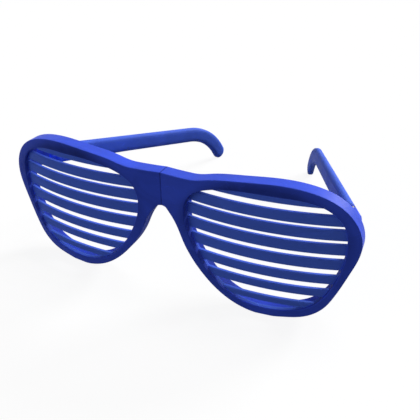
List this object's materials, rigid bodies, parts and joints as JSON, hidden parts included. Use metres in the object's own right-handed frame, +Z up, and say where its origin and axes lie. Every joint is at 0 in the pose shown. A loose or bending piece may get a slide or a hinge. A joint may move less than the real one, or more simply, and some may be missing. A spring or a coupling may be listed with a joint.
{
  "type": "slatted novelty glasses",
  "caption": "Moulded plastic novelty glasses with slatted lens inserts and folding temples hinged on screws.",
  "frame": {"origin": "centre of the whole part's box seen from above, at the level of the surface that the rims and temple tips stand on", "axes": "+X to the viewer's right when looking at the front, the front faces -Y, the open temples run towards +Y, +Z up; left and right are the viewer's, seen from the front"},
  "size_m": [0.1488, 0.1314, 0.0571],
  "materials": {
    "front_plastic": "smooth blue moulded plastic with a soft gloss",
    "slat_plastic": "smooth blue moulded plastic, a touch lighter than the front",
    "temple_plastic": "smooth blue moulded plastic with a soft gloss",
    "screw_steel": "bright steel"
  },
  "bodies": {
    "front": {"front_frame": "front_plastic", "left_slat_insert": "slat_plastic", "right_slat_insert": "slat_plastic", "left_hinge_screw": "screw_steel", "right_hinge_screw": "screw_steel", "left_hinge_nut": "screw_steel", "right_hinge_nut": "screw_steel"},
    "left_temple": {"left_temple": "temple_plastic"},
    "right_temple": {"right_temple": "temple_plastic"}
  },
  "joints": [
    {"name": "right_fold", "type": "hinge", "parent": "front", "child": "right_temple", "pos_m": [0.0675, -0.04499, 0.0398], "axis": [0, 0, 1], "range_deg": [0, 75]},
    {"name": "left_fold", "type": "hinge", "parent": "front", "child": "left_temple", "pos_m": [-0.0675, -0.04499, 0.0398], "axis": [0, 0, -1], "range_deg": [0, 68]}
  ]
}
